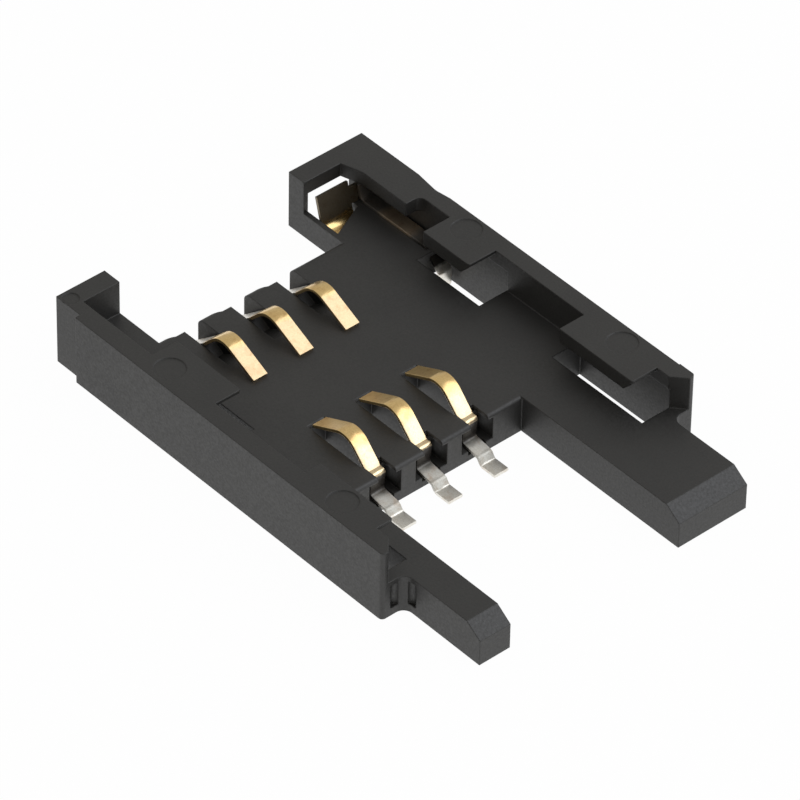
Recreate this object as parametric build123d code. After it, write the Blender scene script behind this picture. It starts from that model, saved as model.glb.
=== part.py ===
from build123d import *
import os
from math import cos, hypot, radians, tan

# Card socket for a small chip card, soldered to a circuit board.
# One moulded housing, six sprung contacts in two rows and the two contacts of a
# switch that opens when a card is home. Sizes are in millimetres.
# X runs from the card stop to the tips of the arms, where the card goes in.
# Y runs from the left rail to the right rail, and Z up from the board.
# The origin is the middle of the outline, on the board.

# The card that the socket takes, with its contact pads
card_length = 25.0
card_width = 15.0
card_thick = 0.76
pad_pitch = 2.54
pad_row_gap = 7.62
pad_from_end = 5.0
pad_from_side = 6.14

# Room round the card
end_play = 0.10
left_play = 0.10
right_play = 0.29
top_play = 0.24
finger_room = 0.52

# Housing walls
floor_top = 1.85
floor_thick = 1.25
lip_thick = 0.70
left_wall = 0.91
right_wall = 0.90
stop_thick = 0.98
rail_reach = 20.04
hook_step = 0.27
hook_step_reach = 0.60
rail_corner = 0.20
lead_in = 0.67
lead_in_land = 0.30
rail_side_sink = 0.05
rail_end_long = 0.95

# Floor between the rails
ledge_wide = 1.98
floor_from_stop = 2.36
floor_past_row = 2.26
recess_end_rim = 1.40
floor_front_round = 0.18
floor_rear_round = 0.36

# Arms that carry the card past the rails
arm_inset = 0.33
left_arm_wide = 1.65
right_arm_wide = 3.81
arm_root_round = 0.45
tip_slope_run = 0.81
tip_slope_drop = 0.57
root_groove = 0.22
root_groove_sink = 0.18
root_groove_low = 0.40
root_groove_high = 1.60

# Lips that hold the card down, from the stop
left_rear_lip_from = 4.50
left_rear_lip_long = 4.06
left_rear_lip_deep = 1.36
right_rear_lip_from = 5.75
right_rear_lip_long = 2.90
right_rear_lip_deep = 1.50
front_lip_from = 14.18
front_lip_long = 4.46
left_front_lip_deep = 0.86
right_front_lip_deep = 1.39
lip_corner = 0.10
lip_front_land = 0.15
lip_front_run = 0.50

# Slots in the floor under the lips
slot_behind = 0.30
slot_ahead = 0.78
slot_past_lip = 0.08
slot_in_wall = 0.17

# Round marks that the ejector pins leave
mark_radius = 0.70
mark_sink = 0.04
left_rear_mark = 1.15
right_rear_mark = 1.05
front_mark = 2.35
hook_mark_radius = 0.38

# Switch corner
switch_wide = 3.22
sill_thick = 0.24
well_wide = 1.88
well_past_stop = 2.15
rear_way_bite = 0.20
shelf_left_run = 0.19
shelf_right_run = 1.05
shelf_gap = 0.03
switch_lip_reach = 3.87
switch_lip_deep = 0.82
switch_web_run = 1.10
switch_web_deep = 0.33
wall_gap_round = 0.35
dent_from = 2.73
dent_rear_ramp = 1.17
dent_long = 0.20
dent_front_ramp = 0.73
dent_deep = 0.15

# Contact strip and its arch
metal_thick = 0.15
strip_wide = 0.77
strip_side_gap = 0.05
crest_rise = 0.97
crest_radius = 1.0
free_slope = 25.0
fixed_slope = 46.0
foot_long = 0.80

# Front contacts
front_free_reach = 1.88
flat_sink = 0.17
flat_bend = 0.12
front_bend_reach = 1.88
front_bend = 0.18
back_slant_reach = 1.74
back_slant_level = 0.62
back_slant_bend = 0.15
tail_reach = 2.75
tail_level = 0.46
tail_bend = 0.20
foot_bend = 0.10
foot_reach = 2.98

# Rear contacts
rear_free_reach = 2.00
tail_break_reach = 1.25
tail_slope = 40.0
tail_break_bend = 0.30
tail_low_reach = 2.90
rear_foot_reach = 3.08

# Openings round the contacts
front_slot_wide = 0.94
front_slot_behind = 0.16
front_slot_ahead = 1.28
slot_bevel = 0.10
window_wide = 1.74
window_low = 0.50
window_high = 1.65
window_deep = 1.10
bar_level = 1.25
strip_right_gap = 0.20
tail_notch_wide = 1.00
tail_notch_low = 0.30
flat_notch_deep = 0.88
pocket_rear = 1.05
pocket_front = 0.45
pocket_level = 0.95
ramp_front = 1.80
rear_cut_deep = 0.34
rear_cut_run = 0.60
rear_cut_long = 0.46

# Switch contacts
flap_wide = 1.75
flap_side_gap = 0.03
flap_gap = 0.03
flap_top = 2.93
flap_top_from_stop = 0.55
flap_lean = 15.0
flap_base_level = 1.35
flap_bend = 0.45
flap_anchor = 1.05
switch_foot_long = 0.80
tongue_floor_gap = 0.03
tongue_high = 2.60
tongue_lap = 0.50
fixed_wide = 0.73
fixed_from_wall = 0.09
fixed_tab_high = 2.65
fixed_bend = 0.25
fixed_fall_from_stop = 5.06
fixed_fall_run = 1.00

# What a cut runs past the face that it opens
over = 1.0
near = 0.02

# Overall size and the planes that everything is placed from
length = stop_thick + end_play + card_length - finger_room
width = left_wall + left_play + card_width + right_play + right_wall
lip_under = floor_top + card_thick + top_play
height = lip_under + lip_thick
floor_under = floor_top - floor_thick
tongue_low = floor_top + tongue_floor_gap

back = -length / 2
tip = length / 2
left = -width / 2
right = width / 2
stop_face = back + stop_thick
wall_left = left + left_wall
wall_right = right - right_wall
middle_column = wall_left + left_play + pad_from_side
rear_row = stop_face + end_play + pad_from_end
front_row = rear_row + pad_row_gap
floor_rear = stop_face + floor_from_stop
floor_front = front_row + floor_past_row
rail_front = stop_face + rail_reach
ledge_edge = wall_left + ledge_wide
left_arm_out = wall_left + arm_inset
left_arm_in = left_arm_out + left_arm_wide
right_arm_out = wall_right - arm_inset
right_arm_in = right_arm_out - right_arm_wide
switch_side = wall_right - switch_wide
well_side = switch_side + sill_thick
well_front = stop_face + well_past_stop
columns = [middle_column + pad_pitch * step for step in (-1, 0, 1)]


def block(x0, x1, y0, y1, z0, z1):
    """Block between two planes each way."""
    middle = Pos((x0 + x1) / 2, (y0 + y1) / 2, (z0 + z1) / 2)
    return middle * Box(x1 - x0, y1 - y0, z1 - z0)


def upright(points, z0, z1):
    """Upright prism on an outline in plan."""
    outline = make_face(Polyline(*points, close=True))
    return Pos(0, 0, z0) * extrude(outline, z1 - z0)


def sideways(points, y0, y1):
    """Prism along Y on an outline in X and Z."""
    outline = make_face(Polyline(*points, close=True))
    return Pos(0, y1, 0) * extrude(Plane.XZ * outline, y1 - y0)


def post_edges(solid, x, y):
    """Upright edges of a solid at one place in plan."""
    found = []
    for edge in solid.edges().filter_by(Axis.Z):
        middle = edge.center()
        if hypot(middle.X - x, middle.Y - y) < near:
            found.append(edge)
    return found


def top_edge_round(edge_x, inward, radius, y0, y1):
    """What rounds off a top edge of the floor; inward is 1 where the floor is ahead."""
    hub = edge_x + inward * radius
    out = edge_x - inward * over
    corner = block(min(hub, out), max(hub, out), y0, y1, floor_top - radius, floor_top + over)
    rod = Rot(90, 0, 0) * Cylinder(radius, y1 - y0 + over)
    return corner - Pos(hub, (y0 + y1) / 2, floor_top - radius) * rod


def moulded_floor():
    """Floor, foot of the rails and arms, all of one depth."""
    floor = block(floor_rear, floor_front, left, right, 0, floor_top)
    floor += block(back, rail_front, left, ledge_edge, 0, floor_top)
    floor += block(back, floor_front, switch_side, right, 0, floor_top)
    floor += block(floor_front - over, rail_front, right_arm_in, right, 0, floor_top)
    floor += block(floor_front - over, tip, left_arm_out, left_arm_in, 0, floor_top)
    floor += block(floor_front - over, tip, right_arm_in, right_arm_out, 0, floor_top)
    roots = post_edges(floor, rail_front, left_arm_out)
    roots += post_edges(floor, rail_front, right_arm_out)
    floor = fillet(roots, arm_root_round)
    floor -= top_edge_round(floor_rear, 1, floor_rear_round, ledge_edge, switch_side)
    floor -= top_edge_round(floor_front, -1, floor_front_round, ledge_edge, right_arm_in)
    return floor


def tip_slope():
    """What the slope on top of the arm tips takes away."""
    points = [
        (tip - tip_slope_run, floor_top),
        (tip, floor_top - tip_slope_drop),
        (tip + over, floor_top - tip_slope_drop),
        (tip + over, floor_top + over),
        (tip - tip_slope_run, floor_top + over),
    ]
    return sideways(points, left, right)


def rail_walls():
    """Walls of the two rails, cut back at the mouth to lead the card in."""
    left_points = [
        (back, left),
        (rail_front, left),
        (rail_front, left + lead_in_land),
        (rail_front - lead_in, wall_left),
        (back, wall_left),
    ]
    right_points = [
        (back, right),
        (rail_front, right),
        (rail_front, right - lead_in_land),
        (rail_front - lead_in, wall_right),
        (back, wall_right),
    ]
    walls = upright(left_points, floor_top - over, height)
    walls += upright(right_points, floor_top - over, height)
    return walls


def hook():
    """Stop for the card's corner at the end of the left rail."""
    return block(back, stop_face, left, ledge_edge, 0, height)


def lip(wall, side, start, long, deep):
    """Lip on a wall; side is 1 where it reaches towards +Y."""
    x0 = stop_face + start
    x1 = x0 + long
    edge = wall + side * deep
    shape = block(x0, x1, min(wall, edge), max(wall, edge), lip_under, height)
    shape = fillet(post_edges(shape, x1, edge), lip_corner)
    lead = [
        (x1 - lip_front_run, lip_under),
        (x1, height - lip_front_land),
        (x1 + over, height - lip_front_land),
        (x1 + over, lip_under),
    ]
    return shape - sideways(lead, min(wall, edge), max(wall, edge))


def slot(wall, side, start, long, deep):
    """Slot in the floor under a lip, cut a little into the wall."""
    x0 = stop_face + start - slot_behind
    x1 = stop_face + start + long + slot_ahead
    edge = wall + side * (deep + slot_past_lip)
    bite = wall - side * slot_in_wall
    return block(x0, x1, min(bite, edge), max(bite, edge), -over, lip_under)


lips = [
    (wall_left, 1, left_rear_lip_from, left_rear_lip_long, left_rear_lip_deep),
    (wall_left, 1, front_lip_from, front_lip_long, left_front_lip_deep),
    (wall_right, -1, right_rear_lip_from, right_rear_lip_long, right_rear_lip_deep),
    (wall_right, -1, front_lip_from, front_lip_long, right_front_lip_deep),
]


def switch_frame():
    """Frame round the switch at the end of the right rail."""
    lip_edge = wall_right - switch_lip_deep
    web_edge = lip_edge - switch_web_deep
    web_points = [
        (stop_face, lip_edge),
        (stop_face, web_edge),
        (stop_face + switch_web_run, lip_edge),
    ]
    frame = block(back, stop_face, switch_side, wall_right, lip_under, height)
    frame += block(back, stop_face, switch_side, well_side, floor_under, height)
    frame += block(back, stop_face + switch_lip_reach, lip_edge, wall_right, lip_under, height)
    frame += upright(web_points, lip_under, height)
    return frame


def switch_well():
    """Opening in the floor for the sprung flap, open to the rear."""
    return block(back - over, well_front, well_side, well_side + well_wide, -over, lip_under)


def rear_way():
    """Opening behind the flap, as wide as the room inside the right rail."""
    return block(back - over, stop_face, well_side, wall_right + rear_way_bite, -over, lip_under)


def flap_shelf():
    """Thin end of the floor that lies over the flap's base."""
    y1 = well_side + well_wide
    points = [
        (well_front, well_side),
        (well_front, y1),
        (well_front - shelf_right_run, y1),
        (well_front - shelf_left_run, well_side),
    ]
    return upright(points, flap_base_level + shelf_gap, floor_top)


def side_dent():
    """Shallow dent outside the right rail, and the flat past it up to the rail's end."""
    x0 = stop_face + dent_from
    x1 = x0 + dent_rear_ramp
    x2 = x1 + dent_long
    x3 = x2 + dent_front_ramp
    x4 = rail_front - rail_end_long
    inner = right - dent_deep
    side = right - rail_side_sink
    points = [(x0, right), (x1, inner), (x2, inner), (x3, side), (x4, side), (x4, right)]
    return upright(points, -over, height + over)


def ejector_marks():
    """Round marks sunk in the top."""
    low = height - mark_sink
    places = [
        (left_rear_lip_from + left_rear_mark, wall_left, mark_radius),
        (front_lip_from + front_mark, wall_left, mark_radius),
        (right_rear_lip_from + right_rear_mark, wall_right, mark_radius),
        (front_lip_from + front_mark, wall_right, mark_radius),
        (-stop_thick / 2, left + hook_step + hook_mark_radius, hook_mark_radius),
    ]
    marks = Part()
    for along, y, radius in places:
        marks += Pos(stop_face + along, y, low + over / 2) * Cylinder(radius, over)
    return marks


def arm_root_grooves():
    """Two upright grooves beside the root of the left arm."""
    tall = root_groove_high - root_groove_low
    level = (root_groove_high + root_groove_low) / 2
    out = root_groove - root_groove_sink
    first = Pos(rail_front + out, (left + wall_left) / 2 + root_groove, level)
    second = Pos(rail_front + arm_root_round, left_arm_out - out, level)
    grooves = first * Cylinder(root_groove, tall)
    grooves += second * Cylinder(root_groove, tall)
    return grooves


def free_side(reach):
    """Level of the arch's free side, at a reach from its row towards the free end."""
    hub = floor_top + crest_rise - crest_radius
    slope = radians(free_slope)
    return hub + crest_radius / cos(slope) - tan(slope) * reach


def fixed_side(reach):
    """Level of the arch's fixed side, at a reach from its row towards the foot."""
    hub = floor_top + crest_rise - crest_radius
    slope = radians(fixed_slope)
    return hub + crest_radius / cos(slope) - tan(slope) * reach


def tail_side(reach):
    """Level of a rear contact's tail, which is a little flatter than the arch."""
    drop = tan(radians(tail_slope)) * (reach - tail_break_reach)
    return fixed_side(tail_break_reach) - drop


def fixed_side_reach(level):
    """Reach from the row at which the fixed side comes down to a level."""
    return (fixed_side(0) - level) / tan(radians(fixed_slope))


def arch_points(free_reach):
    """Free end of the arch and the corner where its two sides would meet."""
    both = tan(radians(free_slope)) + tan(radians(fixed_slope))
    reach = (fixed_side(0) - free_side(0)) / both
    return [(-free_reach, free_side(free_reach)), (reach, fixed_side(reach))]


def ribbon(points, bends, y, wide):
    """Bent strip. The points are on the face that is up at the free end.

    Each bend is the radius of that face at one point between the two ends.
    """
    far = []
    radii = []
    count = len(points)
    for index, (x, z) in enumerate(points):
        before = Vector(*points[max(index - 1, 0)])
        here = Vector(x, z)
        after = Vector(*points[min(index + 1, count - 1)])
        arrive = (here - before).normalized() if index > 0 else (after - here).normalized()
        leave = (after - here).normalized() if index < count - 1 else arrive
        side = Vector(arrive.Y, -arrive.X) + Vector(leave.Y, -leave.X)
        share = 2 * metal_thick / side.length ** 2
        far.append((x + side.X * share, z + side.Y * share))
        if 0 < index < count - 1:
            turn = arrive.X * leave.Y - arrive.Y * leave.X
            bend = bends[index - 1]
            radii.append(bend + metal_thick if turn > 0 else bend - metal_thick)
    near_line = FilletPolyline(*points, radius=bends)
    far_line = FilletPolyline(*far, radius=radii)
    ends = [Line(points[0], far[0]), Line(points[-1], far[-1])]
    face = make_face(near_line.edges() + far_line.edges() + ends)
    return Pos(0, y + wide / 2, 0) * extrude(Plane.XZ * face, wide)


def front_contact(y):
    """Contact of the front row, with its foot ahead of the floor."""
    flat_level = floor_top - flat_sink
    points = arch_points(front_free_reach)
    points += [
        (fixed_side_reach(flat_level), flat_level),
        (front_bend_reach, flat_level),
        (back_slant_reach, back_slant_level),
        (tail_reach, tail_level),
        (foot_reach, metal_thick),
        (foot_reach + foot_long, metal_thick),
    ]
    bends = [crest_radius, flat_bend, front_bend, back_slant_bend, tail_bend, foot_bend]
    return Pos(front_row, 0, 0) * ribbon(points, bends, y, strip_wide)


def rear_contact(y):
    """Contact of the rear row, with its foot behind the floor."""
    points = arch_points(rear_free_reach)
    points += [
        (tail_break_reach, fixed_side(tail_break_reach)),
        (tail_low_reach, tail_side(tail_low_reach)),
        (rear_foot_reach, metal_thick),
        (rear_foot_reach + foot_long, metal_thick),
    ]
    bends = [crest_radius, tail_break_bend, tail_bend, foot_bend]
    strip = ribbon(points, bends, y, strip_wide)
    return Pos(rear_row, 0, 0) * mirror(strip, Plane.YZ)


def front_contact_room(y):
    """Slot, groove, window and notch round one front contact."""
    half_slot = front_slot_wide / 2
    groove_left = y - strip_wide / 2
    groove_right = y + strip_wide / 2 + strip_right_gap
    half_window = window_wide / 2
    half_notch = tail_notch_wide / 2
    slot_rear = front_row - front_free_reach - front_slot_behind
    slot_front = front_row + front_slot_ahead
    groove_level = floor_top - flat_sink - metal_thick
    window_back = floor_front - window_deep
    notch_back = floor_front - flat_notch_deep
    room = block(slot_rear, slot_front, y - half_slot, y + half_slot, -over, floor_top + over)
    room += block(slot_front - near, floor_front + over, groove_left, groove_right,
                  groove_level, floor_top + over)
    room += block(notch_back, floor_front + over, groove_left, groove_right,
                  window_low, floor_top + over)
    room += block(window_back, floor_front + over, y - half_window, y + half_window,
                  window_low, bar_level)
    room += block(notch_back, floor_front + over, y - half_window, y + half_window,
                  window_low, window_high)
    room += block(window_back, floor_front + over, y - half_notch, y + half_notch,
                  tail_notch_low, window_low + near)
    bevel_points = [
        (slot_rear - slot_bevel, floor_top),
        (slot_rear, floor_top - slot_bevel),
        (slot_rear + over, floor_top - slot_bevel),
        (slot_rear + over, floor_top),
    ]
    room += sideways(bevel_points, y - half_slot, y + half_slot)
    return room


def rear_contact_room(y):
    """Slot for one rear contact, with its ramp and pocket, and the cut left of its rear end."""
    slot_left = y - strip_wide / 2 - strip_side_gap
    slot_right = y + strip_wide / 2 + strip_right_gap
    drop = metal_thick / cos(radians(tail_slope))
    rear_end = floor_rear - over
    points = [
        (rear_end, tail_side(rear_row - rear_end) - drop),
        (rear_row - ramp_front, tail_side(ramp_front) - drop),
        (rear_row - pocket_rear, pocket_level),
        (rear_row + pocket_front, floor_top),
        (rear_row + pocket_front, floor_top + over),
        (rear_end, floor_top + over),
    ]
    cut_front = floor_rear + rear_cut_deep
    cut_left = slot_left - rear_cut_long
    cut = [
        (rear_end, slot_left),
        (cut_front, slot_left),
        (cut_front, cut_left),
        (floor_rear, cut_left - rear_cut_run),
        (rear_end, cut_left - rear_cut_run),
    ]
    room = sideways(points, slot_left, slot_right)
    return room + upright(cut, -over, floor_top + over)


def flap_face(level):
    """Where the leaning flap's front face is at a level."""
    top = stop_face + flap_top_from_stop
    return top + tan(radians(flap_lean)) * (flap_top - level)


def switch_flap():
    """Sprung flap of the switch, which the card's end pushes back."""
    y0 = well_side + flap_side_gap
    y1 = y0 + flap_wide
    tongue_end = wall_right - fixed_from_wall - fixed_wide + tongue_lap
    leg = well_front + flap_anchor
    points = [
        (flap_face(flap_top), flap_top),
        (flap_face(flap_base_level), flap_base_level),
        (leg, flap_base_level),
        (leg, metal_thick),
        (leg + switch_foot_long, metal_thick),
    ]
    bends = [flap_bend, flap_bend, foot_bend]
    across = metal_thick / cos(radians(flap_lean))
    tongue = [
        (flap_face(tongue_low), tongue_low),
        (flap_face(tongue_high), tongue_high),
        (flap_face(tongue_high) - across, tongue_high),
        (flap_face(tongue_low) - across, tongue_low),
    ]
    flap = ribbon(points, bends, (y0 + y1) / 2, flap_wide)
    return flap + sideways(tongue, y1, tongue_end)


def switch_fixed():
    """Fixed contact of the switch, along the floor under the rear lip."""
    off = (metal_thick + flap_gap) / cos(radians(flap_lean))
    y = wall_right - fixed_from_wall - fixed_wide / 2
    level = floor_top + metal_thick
    fall = stop_face + fixed_fall_from_stop
    leg = fall + fixed_fall_run
    points = [
        (flap_face(fixed_tab_high) + off, fixed_tab_high),
        (flap_face(level) + off, level),
        (fall, level),
        (leg, level - fixed_fall_run),
        (leg, 0),
        (leg - switch_foot_long, 0),
    ]
    bends = [fixed_bend] * 4
    return ribbon(points, bends, y, fixed_wide)


def housing():
    """The moulded body."""
    body = moulded_floor()
    body += rail_walls()
    body += hook()
    body += switch_frame()
    for place in lips:
        body += lip(*place)
    mouth = post_edges(body, rail_front, left) + post_edges(body, rail_front, right)
    body = fillet(mouth, rail_corner)
    body = fillet(post_edges(body, stop_face + switch_lip_reach, wall_right), wall_gap_round)
    body -= block(back - over, floor_front - recess_end_rim, ledge_edge, wall_right,
                  -over, floor_under)
    body -= block(back - over, stop_face + hook_step_reach, left - over, left + hook_step,
                  -over, height + over)
    body -= tip_slope()
    body -= switch_well()
    body -= rear_way()
    body += flap_shelf()
    body -= side_dent()
    body -= ejector_marks()
    body -= arm_root_grooves()
    for place in lips:
        body -= slot(*place)
    for y in columns:
        body -= front_contact_room(y)
        body -= rear_contact_room(y)
    body -= switch_flap()
    body -= switch_fixed()
    return body


def main():
    """Write one file for each piece."""
    os.makedirs("parts", exist_ok=True)
    pieces = {
        "housing": housing(),
        "switch_flap": switch_flap(),
        "switch_fixed_contact": switch_fixed(),
    }
    for number, y in enumerate(columns, start=1):
        pieces[f"rear_contact_{number}"] = rear_contact(y)
        pieces[f"front_contact_{number}"] = front_contact(y)
    for name, shape in pieces.items():
        export_step(shape, f"parts/{name}.step")


main()
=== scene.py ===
# Looks of a socket for a small chip card: one black moulding, six sprung
# contacts in two rows, and the two contacts of the card switch.
# Everything is in metres, in the part's own frame.
from math import cos, radians, sin, tan

import bmesh
import bpy
from mathutils import Matrix, Vector


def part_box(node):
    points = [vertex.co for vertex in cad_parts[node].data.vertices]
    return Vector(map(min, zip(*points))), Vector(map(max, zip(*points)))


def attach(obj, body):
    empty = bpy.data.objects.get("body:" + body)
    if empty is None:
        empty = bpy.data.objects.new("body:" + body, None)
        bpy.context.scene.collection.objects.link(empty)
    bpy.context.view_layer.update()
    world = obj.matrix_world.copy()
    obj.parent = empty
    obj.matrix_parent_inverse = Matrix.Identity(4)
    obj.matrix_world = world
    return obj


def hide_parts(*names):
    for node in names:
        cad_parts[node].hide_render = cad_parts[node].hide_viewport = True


MM = 0.001

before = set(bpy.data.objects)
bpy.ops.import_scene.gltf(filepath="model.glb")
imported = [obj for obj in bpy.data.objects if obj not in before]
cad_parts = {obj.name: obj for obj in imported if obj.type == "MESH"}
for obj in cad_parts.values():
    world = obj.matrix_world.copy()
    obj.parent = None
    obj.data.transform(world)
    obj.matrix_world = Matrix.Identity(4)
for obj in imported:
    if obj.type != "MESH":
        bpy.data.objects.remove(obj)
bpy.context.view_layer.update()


# Camera
# The angles and lens were solved from the photograph's straight edges and the
# card contacts. The distance and target also lean on a standard card's size.
camera_azimuth = radians(47.951)
camera_elevation = radians(40.704)
camera_roll = radians(1.122)
camera_target = Vector((-1.560, 1.004, 0.0)) * MM
camera_distance = 302.228 * MM
camera_lens = 324.756
sensor_wide = 36.0
clip_near = 0.01
clip_far = 10.0


def place_camera():
    """Camera at the photograph's viewing angle."""
    a = camera_azimuth
    e = camera_elevation
    r = camera_roll
    forward = Vector((-sin(a) * cos(e), cos(a) * cos(e), -sin(e)))
    across = Vector((cos(a), sin(a), 0.0))
    up = across.cross(forward)
    turned_across = across * cos(r) + up * sin(r)
    turned_up = up * cos(r) - across * sin(r)
    eye = camera_target - forward * camera_distance
    data = bpy.data.cameras.new("camera")
    data.lens = camera_lens
    data.sensor_width = sensor_wide
    data.clip_start = clip_near
    data.clip_end = clip_far
    camera = bpy.data.objects.new("camera", data)
    turn = Matrix((turned_across, turned_up, -forward)).transposed()
    camera.matrix_world = Matrix.Translation(eye) @ turn.to_4x4()
    bpy.context.scene.collection.objects.link(camera)
    bpy.context.scene.camera = camera


# Finishes
# Colours are linear. Each noise is its patches per metre, its detail and its
# roughness, and each band is the part of the noise's values that shows.
moulding_dark = (0.0105, 0.0100, 0.0090)
moulding_light = (0.0145, 0.0140, 0.0125)
moulding_roughness = (0.46, 0.62)
moulding_index = 1.7
cloud_noise = (420.0, 3.0, 0.5)
cloud_band = (0.35, 0.65)
cloud_depth = 0.02 * MM
cloud_strength = 0.10
mould_grain_noise = (9000.0, 3.0, 0.6)
mould_grain_band = (0.3, 0.7)
mould_grain_depth = 0.006 * MM
mould_grain_strength = 0.45
glass_fleck = (0.036, 0.035, 0.032)
fleck_noise = (26000.0, 1.0, 0.5)
fleck_band = (0.62, 0.80)
edge_softness = 0.08 * MM
edge_samples = 6

waver_noise = (1600.0, 3.0, 0.5)
waver_band = (0.3, 0.7)
waver_reach = 0.09 * MM
clear = (1.0, 1.0, 1.0)
brown_stain = (0.84, 0.76, 0.70)
stain_noise = (2600.0, 3.0, 0.6)
stain_band = (0.50, 0.74)
speckle_shade = (0.88, 0.86, 0.82)
speckle_noise = (15000.0, 2.0, 0.5)
speckle_band = (0.35, 0.70)
lacquer_weight = 0.5
lacquer_roughness = 0.2

# Sockets of the node that mixes two colours
mix_factor = 0
mix_first = 6
mix_second = 7
mix_result = 2


class Finish:
    """A material that is being built, with short calls for its nodes."""

    def __init__(self, name):
        self.material = bpy.data.materials.new(name)
        self.material.use_nodes = True
        self.tree = self.material.node_tree
        self.tree.nodes.clear()
        self.surface = self.node("ShaderNodeBsdfPrincipled")
        out = self.node("ShaderNodeOutputMaterial")
        self.join(self.surface, "BSDF", out, "Surface")
        self.place = self.node("ShaderNodeTexCoord")

    def node(self, kind, **settings):
        made = self.tree.nodes.new(kind)
        for key, value in settings.items():
            setattr(made, key, value)
        return made

    def join(self, source, output, target, socket):
        self.tree.links.new(source.outputs[output], target.inputs[socket])

    def noise(self, scale, detail, rough):
        made = self.node("ShaderNodeTexNoise")
        made.inputs["Scale"].default_value = scale
        made.inputs["Detail"].default_value = detail
        made.inputs["Roughness"].default_value = rough
        self.join(self.place, "Object", made, "Vector")
        return made

    def spread(self, noise, band, onto=(0.0, 1.0)):
        """A band of the noise's values spread onto another range, and held inside it."""
        made = self.node("ShaderNodeMapRange")
        made.clamp = True
        for name, value in zip(("From Min", "From Max", "To Min", "To Max"), band + onto):
            made.inputs[name].default_value = value
        self.join(noise, "Fac", made, "Value")
        return made

    def blend(self, factor, first, second):
        """Colour between two, by a factor; the first may be a blend itself."""
        made = self.node("ShaderNodeMix", data_type="RGBA")
        self.join(factor, "Result", made, mix_factor)
        if isinstance(first, tuple):
            made.inputs[mix_first].default_value = (*first, 1.0)
        else:
            self.join(first, mix_result, made, mix_first)
        made.inputs[mix_second].default_value = (*second, 1.0)
        return made

    def times(self, first, output, blend):
        """One colour multiplied by a blend."""
        made = self.node("ShaderNodeMix", data_type="RGBA", blend_type="MULTIPLY")
        made.inputs[mix_factor].default_value = 1.0
        self.join(first, output, made, mix_first)
        self.join(blend, mix_result, made, mix_second)
        return made

    def relief(self, noise, depth, strength, under):
        """Fine relief from a noise, on top of another normal."""
        made = self.node("ShaderNodeBump")
        made.inputs["Distance"].default_value = depth
        made.inputs["Strength"].default_value = strength
        self.join(noise, "Fac", made, "Height")
        self.join(under, "Normal", made, "Normal")
        return made


def black_moulding():
    """Glass filled black plastic with the fine grain of a spark cut mould."""
    finish = Finish("black_moulding")
    cloud = finish.noise(*cloud_noise)
    grain = finish.noise(*mould_grain_noise)
    fleck = finish.noise(*fleck_noise)
    body = finish.blend(finish.spread(cloud, cloud_band), moulding_dark, moulding_light)
    flecked = finish.blend(finish.spread(fleck, fleck_band), body, glass_fleck)
    finish.join(flecked, mix_result, finish.surface, "Base Color")
    rough = finish.spread(grain, mould_grain_band, moulding_roughness)
    finish.join(rough, "Result", finish.surface, "Roughness")
    edges = finish.node("ShaderNodeBevel", samples=edge_samples)
    edges.inputs["Radius"].default_value = edge_softness
    coarse = finish.relief(cloud, cloud_depth, cloud_strength, edges)
    fine = finish.relief(grain, mould_grain_depth, mould_grain_strength, coarse)
    finish.join(fine, "Normal", finish.surface, "Normal")
    finish.surface.inputs["IOR"].default_value = moulding_index
    return finish.material


def place_along(finish, length):
    """Share of the strip's length at each place, with a slight waver."""
    along = finish.node("ShaderNodeAttribute", attribute_name="along")
    waver = finish.noise(*waver_noise)
    shift = finish.spread(waver, waver_band, (-waver_reach, waver_reach))
    wavy = finish.node("ShaderNodeMath", operation="ADD")
    finish.join(along, "Fac", wavy, 0)
    finish.join(shift, "Result", wavy, 1)
    share = finish.node("ShaderNodeMath", operation="DIVIDE")
    finish.join(wavy, 0, share, 0)
    share.inputs[1].default_value = length * MM
    return share


def plated_strip(name, length, bands):
    """Metal strip whose finish changes along it.

    Each band is a place along the strip in millimetres, a colour and a
    roughness; between two places the finish runs from one to the next.
    The length along the strip is the attribute that the strip's tree stores.
    """
    finish = Finish(name)
    share = place_along(finish, length)
    tone = finish.node("ShaderNodeValToRGB")
    polish = finish.node("ShaderNodeValToRGB")
    for ramp in (tone, polish):
        stops = ramp.color_ramp.elements
        while len(stops) < len(bands):
            stops.new(0.5)
        for stop, (place, colour, rough) in zip(stops, bands):
            stop.position = place / length
            stop.color = (*colour, 1.0) if ramp is tone else (rough, rough, rough, 1.0)
        finish.join(share, 0, ramp, 0)
    stain = finish.spread(finish.noise(*stain_noise), stain_band)
    stained = finish.times(tone, "Color", finish.blend(stain, clear, brown_stain))
    speckle = finish.spread(finish.noise(*speckle_noise), speckle_band)
    speckled = finish.times(stained, mix_result, finish.blend(speckle, clear, speckle_shade))
    finish.join(speckled, mix_result, finish.surface, "Base Color")
    finish.join(polish, "Color", finish.surface, "Roughness")
    finish.surface.inputs["Metallic"].default_value = 1.0
    finish.surface.inputs["Coat Weight"].default_value = lacquer_weight
    finish.surface.inputs["Coat Roughness"].default_value = lacquer_roughness
    return finish.material


gold_colour = (0.90, 0.66, 0.34)
crest_gold = (0.96, 0.69, 0.30)
# Paler gold, painted as the highlight on the fixed side of the front contacts.
painted_highlight_gold = (0.98, 0.79, 0.50)
# Darker gold, painted as shade on the free side of the rear contacts.
painted_shade_gold = (0.82, 0.62, 0.37)
tin_colour = (0.95, 0.93, 0.87)
# Grey tin, painted as the shade that eases into plain tin at the top of each front tail.
half_shaded_tin = (0.40, 0.39, 0.36)
# Darker tin, painted as shade on the steep bend above each front foot.
shaded_steep_tin = (0.70, 0.69, 0.64)
# Near black, painted as shade where a front contact runs down in the housing's dark recess and where
# the fixed strip falls into its slot.
shaded_metal = (0.055, 0.050, 0.045)
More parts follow.
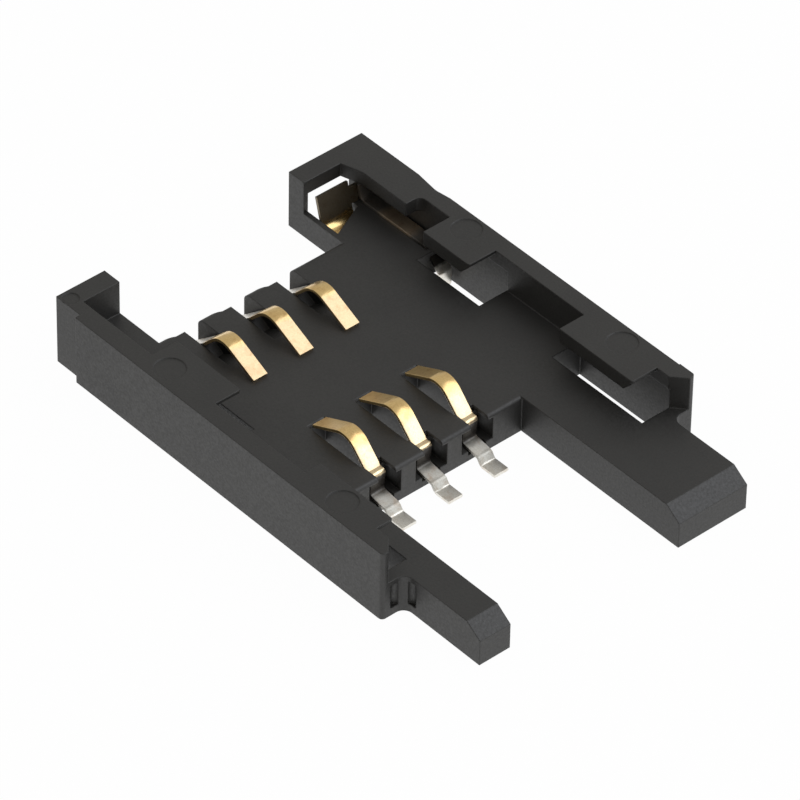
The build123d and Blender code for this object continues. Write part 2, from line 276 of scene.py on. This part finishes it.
# Dark gold, painted as the dark reflection on the upper part of the flap.
dark_reflection_gold = (0.25, 0.21, 0.15)
# Bronze tone of the fixed strip, its band lighter as a painted sheen in the strip's middle.
bronze_with_sheen = (0.56, 0.45, 0.33)
# Darker bronze, painted as shade on the fixed strip either side of its painted sheen.
shaded_bronze = (0.20, 0.185, 0.17)

front_bands = [
    (0.0, crest_gold, 0.28),
    (2.60, crest_gold, 0.28),
    (3.00, painted_highlight_gold, 0.26),
    (4.17, painted_highlight_gold, 0.26),
    (4.27, shaded_metal, 0.60),
    (5.16, shaded_metal, 0.60),
    (5.36, half_shaded_tin, 0.60),
    (5.66, tin_colour, 0.60),
    (6.06, tin_colour, 0.60),
    (6.20, shaded_steep_tin, 0.60),
    (6.50, shaded_steep_tin, 0.60),
    (6.56, tin_colour, 0.45),
    (7.4, tin_colour, 0.45),
]
rear_bands = [
    (0.0, painted_shade_gold, 0.30),
    (1.55, painted_shade_gold, 0.30),
    (1.85, crest_gold, 0.30),
    (2.75, crest_gold, 0.28),
    (3.6, gold_colour, 0.28),
    (3.8, tin_colour, 0.50),
    (7.1, tin_colour, 0.50),
]
flap_bands = [
    (0.0, dark_reflection_gold, 0.45),
    (1.20, dark_reflection_gold, 0.45),
    (1.40, crest_gold, 0.24),
    (6.0, crest_gold, 0.24),
]
fixed_bands = [
    (0.0, shaded_bronze, 0.55),
    (1.65, shaded_bronze, 0.55),
    (2.15, bronze_with_sheen, 0.50),
    (3.65, bronze_with_sheen, 0.50),
    (4.05, shaded_bronze, 0.55),
    (4.60, shaded_metal, 0.55),
    (5.72, shaded_metal, 0.50),
    (5.88, tin_colour, 0.35),
    (8.0, tin_colour, 0.35),
]

# How far each finish runs along its strip, in millimetres
card_plating_length = 7.5
flap_plating_length = 8.0
fixed_plating_length = 8.5


# Pieces that stand for a CAD node

# Edges that turn by more than this many degrees stay sharp.
body_sharp_from = 30
strip_sharp_from = 40
face_weight = 100

# Corners nearer than this are one corner.
body_merge = 0.001 * MM
strip_merge = 0.0005 * MM


def placed(mesh, name, node):
    """Object for a finished mesh that stands for a CAD node."""
    made = bpy.data.objects.new(name, mesh)
    bpy.context.scene.collection.objects.link(made)
    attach(made, "root")
    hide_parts(node)
    return made


def evenly_shaded(raw, name, sharp_from):
    """Mesh whose big faces stay flat in the light beside their rounded edges."""
    raw.polygons.foreach_set("use_smooth", [True] * len(raw.polygons))
    raw.set_sharp_from_angle(angle=radians(sharp_from))
    holder = bpy.data.objects.new(name + "_holder", raw)
    bpy.context.scene.collection.objects.link(holder)
    modifier = holder.modifiers.new("even", "WEIGHTED_NORMAL")
    modifier.mode = "FACE_AREA"
    modifier.weight = face_weight
    modifier.keep_sharp = True
    bpy.context.view_layer.update()
    ready = holder.evaluated_get(bpy.context.evaluated_depsgraph_get())
    mesh = bpy.data.meshes.new_from_object(ready)
    bpy.data.objects.remove(holder)
    mesh.name = name
    return mesh


def body_copy(node, name, material):
    """Merged copy of the moulding's CAD node; it stands for the node."""
    shape = bmesh.new()
    shape.from_mesh(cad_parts[node].data)
    bmesh.ops.remove_doubles(shape, verts=shape.verts, dist=body_merge)
    shape.verts.index_update()
    places = [vert.co.copy() for vert in shape.verts]
    faces = [[vert.index for vert in face.verts] for face in shape.faces]
    shape.free()
    raw = bpy.data.meshes.new(name + "_raw")
    raw.from_pydata(places, [], faces)
    raw.materials.append(material)
    return placed(evenly_shaded(raw, name, body_sharp_from), name, node)


# Bent strips
# The same values as the part's source, in millimetres.
strip_thick = 0.15
strip_edge_round = 0.025
strip_edge_steps = 2
bend_steps = 10
strip_wide = 0.77
floor_top = 1.85
crest_rise = 0.97
crest_radius = 1.0
free_slope = radians(25.0)
fixed_slope = radians(46.0)
foot_long = 0.80
foot_bend = 0.10
front_free_reach = 1.88
flat_level = 1.68
flat_bend = 0.12
front_bend_reach = 1.88
front_bend = 0.18
back_slant_reach = 1.74
back_slant_level = 0.62
back_slant_bend = 0.15
front_tail_reach = 2.75
front_tail_level = 0.46
tail_bend = 0.20
front_foot_reach = 2.98
rear_free_reach = 2.00
tail_break_reach = 1.25
tail_slope = radians(40.0)
tail_break_bend = 0.30
tail_low_reach = 2.90
rear_foot_reach = 3.08
well_past_stop = 2.15
flap_wide = 1.75
flap_gap = 0.03
flap_top = 2.93
flap_top_from_stop = 0.55
flap_lean = radians(15.0)
flap_base_level = 1.35
flap_bend = 0.45
flap_anchor = 1.05
switch_foot_long = 0.80
tongue_floor_gap = 0.03
tongue_low = floor_top + tongue_floor_gap
tongue_high = 2.60
fixed_wide = 0.73
fixed_tab_high = 2.65
fixed_bend = 0.25
fixed_fall_from_stop = 5.06
fixed_fall_run = 1.00


def arch_side(slope, reach):
    """Level of one side of the arch, at a reach from its row."""
    middle = floor_top + crest_rise - crest_radius
    return middle + crest_radius / cos(slope) - tan(slope) * reach


def arch(free_reach):
    """Free end of the arch and the corner where its two sides would meet."""
    apart = arch_side(fixed_slope, 0) - arch_side(free_slope, 0)
    reach = apart / (tan(free_slope) + tan(fixed_slope))
    return [(-free_reach, arch_side(free_slope, free_reach)), (reach, arch_side(fixed_slope, reach))]


def front_line():
    """Upper face of a front contact, from its free end, and its bends."""
    points = arch(front_free_reach)
    points += [
        ((arch_side(fixed_slope, 0) - flat_level) / tan(fixed_slope), flat_level),
        (front_bend_reach, flat_level),
        (back_slant_reach, back_slant_level),
        (front_tail_reach, front_tail_level),
        (front_foot_reach, strip_thick),
        (front_foot_reach + foot_long, strip_thick),
    ]
    return points, [crest_radius, flat_bend, front_bend, back_slant_bend, tail_bend, foot_bend]


def rear_line():
    """Upper face of a rear contact, from its free end, and its bends."""
    break_level = arch_side(fixed_slope, tail_break_reach)
    low = break_level - tan(tail_slope) * (tail_low_reach - tail_break_reach)
    points = arch(rear_free_reach)
    points += [
        (tail_break_reach, break_level),
        (tail_low_reach, low),
        (rear_foot_reach, strip_thick),
        (rear_foot_reach + foot_long, strip_thick),
    ]
    return points, [crest_radius, tail_break_bend, tail_bend, foot_bend]


def middle_line(points, bends):
    """Corners of the strip's middle, half its thickness under the upper face."""
    corners = []
    count = len(points)
    for index in range(count):
        before = Vector(points[max(index - 1, 0)])
        here = Vector(points[index])
        after = Vector(points[min(index + 1, count - 1)])
        leave = (after - here).normalized() if index < count - 1 else (here - before).normalized()
        arrive = (here - before).normalized() if index > 0 else leave
        side = Vector((arrive.y + leave.y, -arrive.x - leave.x))
        middle = here + side * (strip_thick / side.length_squared)
        radius = 0.0
        if 0 < index < count - 1:
            turn = arrive.x * leave.y - arrive.y * leave.x
            half = strip_thick / 2
            radius = bends[index - 1] + (half if turn > 0 else -half)
        corners.append((middle.x, middle.y, radius))
    return corners


def strip_tree():
    """Tree that bends a strip with rounded edges along a line of corners."""
    tree = bpy.data.node_groups.new("bent_strip", "GeometryNodeTree")
    face = tree.interface
    face.new_socket("Corners", in_out="INPUT", socket_type="NodeSocketGeometry")
    for name in ("Width", "Thickness", "Edge round"):
        face.new_socket(name, in_out="INPUT", socket_type="NodeSocketFloat")
    face.new_socket("Bend steps", in_out="INPUT", socket_type="NodeSocketInt")
    face.new_socket("Finish", in_out="INPUT", socket_type="NodeSocketMaterial")
    face.new_socket("Strip", in_out="OUTPUT", socket_type="NodeSocketGeometry")
    start = tree.nodes.new("NodeGroupInput")
    end = tree.nodes.new("NodeGroupOutput")

    def add(kind, **settings):
        made = tree.nodes.new(kind)
        for key, value in settings.items():
            setattr(made, key, value)
        return made

    def join(source, output, target, socket):
        tree.links.new(source.outputs[output], target.inputs[socket])

    line = add("GeometryNodeMeshToCurve")
    bend = add("GeometryNodeInputNamedAttribute", data_type="FLOAT")
    bend.inputs["Name"].default_value = "bend"
    rounded = add("GeometryNodeFilletCurve", mode="POLY")
    upright = add("GeometryNodeSetCurveNormal", mode="FREE")
    upright.inputs["Normal"].default_value = (0.0, 1.0, 0.0)
    spot = add("GeometryNodeSplineParameter")
    keep = add("GeometryNodeStoreNamedAttribute", data_type="FLOAT", domain="POINT")
    keep.inputs["Name"].default_value = "along"
    outline = add("GeometryNodeCurvePrimitiveQuadrilateral")
    soft = add("GeometryNodeFilletCurve", mode="POLY")
    soft.inputs["Count"].default_value = strip_edge_steps
    sweep = add("GeometryNodeCurveToMesh")
    sweep.inputs["Fill Caps"].default_value = True
    real = add("GeometryNodeRealizeInstances")
    finish = add("GeometryNodeSetMaterial")
    join(start, "Corners", line, "Mesh")
    join(line, "Curve", rounded, "Curve")
    join(bend, "Attribute", rounded, "Radius")
    join(start, "Bend steps", rounded, "Count")
    join(rounded, "Curve", upright, "Curve")
    join(upright, "Curve", keep, "Geometry")
    join(spot, "Length", keep, "Value")
    join(start, "Thickness", outline, "Height")
    join(start, "Width", outline, "Width")
    join(outline, "Curve", soft, "Curve")
    join(start, "Edge round", soft, "Radius")
    join(keep, "Geometry", sweep, "Curve")
    join(soft, "Curve", sweep, "Profile Curve")
    join(sweep, "Mesh", real, "Geometry")
    join(real, "Geometry", finish, "Geometry")
    join(start, "Finish", finish, "Material")
    join(finish, "Geometry", end, "Strip")
    return tree


def bent_strip(tree, name, corners, wide, material, node, beside=()):
    """Strip along corners in X and Z, as a plain mesh that stands for a CAD node.

    Beside it, a block between two ends in Y may be given by its outline in X and Z.
    """
    low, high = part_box(node)
    middle = low.y + wide * MM / 2
    line = bpy.data.meshes.new(name + "_line")
    places = [(x * MM, middle, z * MM) for x, z, radius in corners]
    line.from_pydata(places, [(k, k + 1) for k in range(len(places) - 1)], [])
    bends = line.attributes.new("bend", "FLOAT", "POINT")
    bends.data.foreach_set("value", [radius * MM for x, z, radius in corners])
    guide = bpy.data.objects.new(name + "_guide", line)
    bpy.context.scene.collection.objects.link(guide)
    modifier = guide.modifiers.new("strip", "NODES")
    modifier.node_group = tree
    values = {
        "Width": wide * MM,
        "Thickness": strip_thick * MM,
        "Edge round": strip_edge_round * MM,
        "Bend steps": bend_steps,
        "Finish": material,
    }
    for item in tree.interface.items_tree:
        if item.in_out == "INPUT" and item.name in values:
            modifier[item.identifier] = values[item.name]
    bpy.context.view_layer.update()
    ready = guide.evaluated_get(bpy.context.evaluated_depsgraph_get())
    mesh = bpy.data.meshes.new_from_object(ready)
    bpy.data.objects.remove(guide)
    shape = bmesh.new()
    shape.from_mesh(mesh)
    bmesh.ops.remove_doubles(shape, verts=shape.verts, dist=strip_merge)
    if beside:
        rows = []
        for y in (low.y + wide * MM - strip_thick * MM, high.y):
            rows.append([shape.verts.new((x * MM, y, z * MM)) for x, z in beside])
        shape.faces.new(rows[0])
        shape.faces.new(rows[1])
        for k in range(len(beside)):
            n = (k + 1) % len(beside)
            shape.faces.new((rows[0][k], rows[0][n], rows[1][n], rows[1][k]))
    bmesh.ops.recalc_face_normals(shape, faces=shape.faces)
    shape.to_mesh(mesh)
    shape.free()
    return placed(evenly_shaded(mesh, name, strip_sharp_from), name, node)


def card_contacts(tree, finish_rear, finish_front):
    """The six contacts, each bent to the line of its row."""
    front = middle_line(*front_line())
    rear = middle_line(*rear_line())
    for number in (1, 2, 3):
        node = f"front_contact_{number}"
        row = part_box(node)[1].x / MM - front_foot_reach - foot_long
        corners = [(row + x, z, radius) for x, z, radius in front]
        bent_strip(tree, f"front_spring_{number}", corners, strip_wide, finish_front,
                   node)
        node = f"rear_contact_{number}"
        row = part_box(node)[0].x / MM + rear_foot_reach + foot_long
        corners = [(row - x, z, radius) for x, z, radius in rear]
        bent_strip(tree, f"rear_spring_{number}", corners, strip_wide, finish_rear,
                   node)


def card_stop():
    """Where the card's end stops, from the flap's foot."""
    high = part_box("switch_flap")[1]
    return high.x / MM - switch_foot_long - flap_anchor - well_past_stop


def flap_face(level):
    """Where the leaning flap's front face is at a level."""
    return card_stop() + flap_top_from_stop + tan(flap_lean) * (flap_top - level)


def switch_flap(tree, finish):
    """The flap that a card pushes back, with its tongue beside it."""
    leg = card_stop() + well_past_stop + flap_anchor
    points = [
        (flap_face(flap_top), flap_top),
        (flap_face(flap_base_level), flap_base_level),
        (leg, flap_base_level),
        (leg, strip_thick),
        (leg + switch_foot_long, strip_thick),
    ]
    corners = middle_line(points, [flap_bend, flap_bend, foot_bend])
    across = strip_thick / cos(flap_lean)
    tongue = [
        (flap_face(tongue_low), tongue_low),
        (flap_face(tongue_high), tongue_high),
        (flap_face(tongue_high) - across, tongue_high),
        (flap_face(tongue_low) - across, tongue_low),
    ]
    bent_strip(tree, "switch_spring", corners, flap_wide, finish,
               "switch_flap", tongue)


def switch_fixed(tree, finish):
    """The fixed strip that the flap's tongue rests near."""
    off = (strip_thick + flap_gap) / cos(flap_lean)
    level = floor_top + strip_thick
    fall = card_stop() + fixed_fall_from_stop
    leg = fall + fixed_fall_run
    points = [
        (flap_face(fixed_tab_high) + off, fixed_tab_high),
        (flap_face(level) + off, level),
        (fall, level),
        (leg, level - fixed_fall_run),
        (leg, 0.0),
        (leg - switch_foot_long, 0.0),
    ]
    corners = middle_line(points, [fixed_bend] * 4)
    bent_strip(tree, "switch_fixed_strip", corners, fixed_wide, finish,
               "switch_fixed_contact")


# Studio
floor_reach = 1.5
floor_level = -0.01 * MM
floor_colour = (0.86, 0.86, 0.86)
white_share = 0.98
sky_colour = (1.0, 0.98, 0.94)
sky_strength = 0.50
soft_box_size = 0.30
soft_box_power = 0.40
soft_box_colour = (0.96, 1.0, 1.08)
soft_box_way = Vector((0.50, 0.52, 0.69)).normalized()
soft_box_far = 0.30


def larger(tree, first, second):
    """The larger of two outputs."""
    made = tree.nodes.new("ShaderNodeMath")
    made.operation = "MAXIMUM"
    tree.links.new(first, made.inputs[0])
    tree.links.new(second, made.inputs[1])
    return made.outputs[0]


def pale_floor():
    """Matte floor that a camera, a glossy surface or a clear one sees as white."""
    material = bpy.data.materials.new("pale_floor")
    material.use_nodes = True
    tree = material.node_tree
    tree.nodes.clear()
    matte = tree.nodes.new("ShaderNodeBsdfDiffuse")
    matte.inputs["Color"].default_value = (*floor_colour, 1.0)
    white = tree.nodes.new("ShaderNodeEmission")
    white.inputs["Strength"].default_value = 1.0
    ray = tree.nodes.new("ShaderNodeLightPath").outputs
    seen = larger(tree, ray["Is Camera Ray"], ray["Is Glossy Ray"])
    seen = larger(tree, seen, ray["Is Transmission Ray"])
    share = tree.nodes.new("ShaderNodeMath")
    share.operation = "MULTIPLY"
    share.inputs[1].default_value = white_share
    mix = tree.nodes.new("ShaderNodeMixShader")
    out = tree.nodes.new("ShaderNodeOutputMaterial")
    tree.links.new(seen, share.inputs[0])
    tree.links.new(share.outputs[0], mix.inputs[0])
    tree.links.new(matte.outputs[0], mix.inputs[1])
    tree.links.new(white.outputs[0], mix.inputs[2])
    tree.links.new(mix.outputs[0], out.inputs["Surface"])
    return material


def lay_floor():
    """Plain square floor just under the part."""
    mesh = bpy.data.meshes.new("floor")
    corners = [(-1, -1), (1, -1), (1, 1), (-1, 1)]
    places = [(x * floor_reach, y * floor_reach, floor_level) for x, y in corners]
    mesh.from_pydata(places, [], [(0, 1, 2, 3)])
    mesh.materials.append(pale_floor())
    floor = bpy.data.objects.new("floor", mesh)
    bpy.context.scene.collection.objects.link(floor)


def set_light():
    """One large soft light and an even sky."""
    world = bpy.data.worlds.new("sky")
    world.use_nodes = True
    sky = world.node_tree.nodes["Background"]
    sky.inputs["Color"].default_value = (*sky_colour, 1.0)
    sky.inputs["Strength"].default_value = sky_strength
    bpy.context.scene.world = world
    lamp = bpy.data.lights.new("soft_box", "AREA")
    lamp.shape = "RECTANGLE"
    lamp.size = soft_box_size
    lamp.size_y = soft_box_size
    lamp.energy = soft_box_power
    lamp.color = soft_box_colour
    box = bpy.data.objects.new("soft_box", lamp)
    box.location = soft_box_way * soft_box_far
    box.rotation_euler = soft_box_way.to_track_quat("Z", "Y").to_euler()
    bpy.context.scene.collection.objects.link(box)


# Making

place_camera()
body_copy("housing", "moulded_body", black_moulding())
front_finish = plated_strip("front_plating", card_plating_length, front_bands)
rear_finish = plated_strip("rear_plating", card_plating_length, rear_bands)
flap_finish = plated_strip("flap_plating", flap_plating_length, flap_bands)
fixed_finish = plated_strip("switch_strip_plating", fixed_plating_length, fixed_bands)
strips = strip_tree()
card_contacts(strips, rear_finish, front_finish)
switch_flap(strips, flap_finish)
switch_fixed(strips, fixed_finish)
lay_floor()
set_light()
bpy.context.scene.view_settings.view_transform = "Standard"
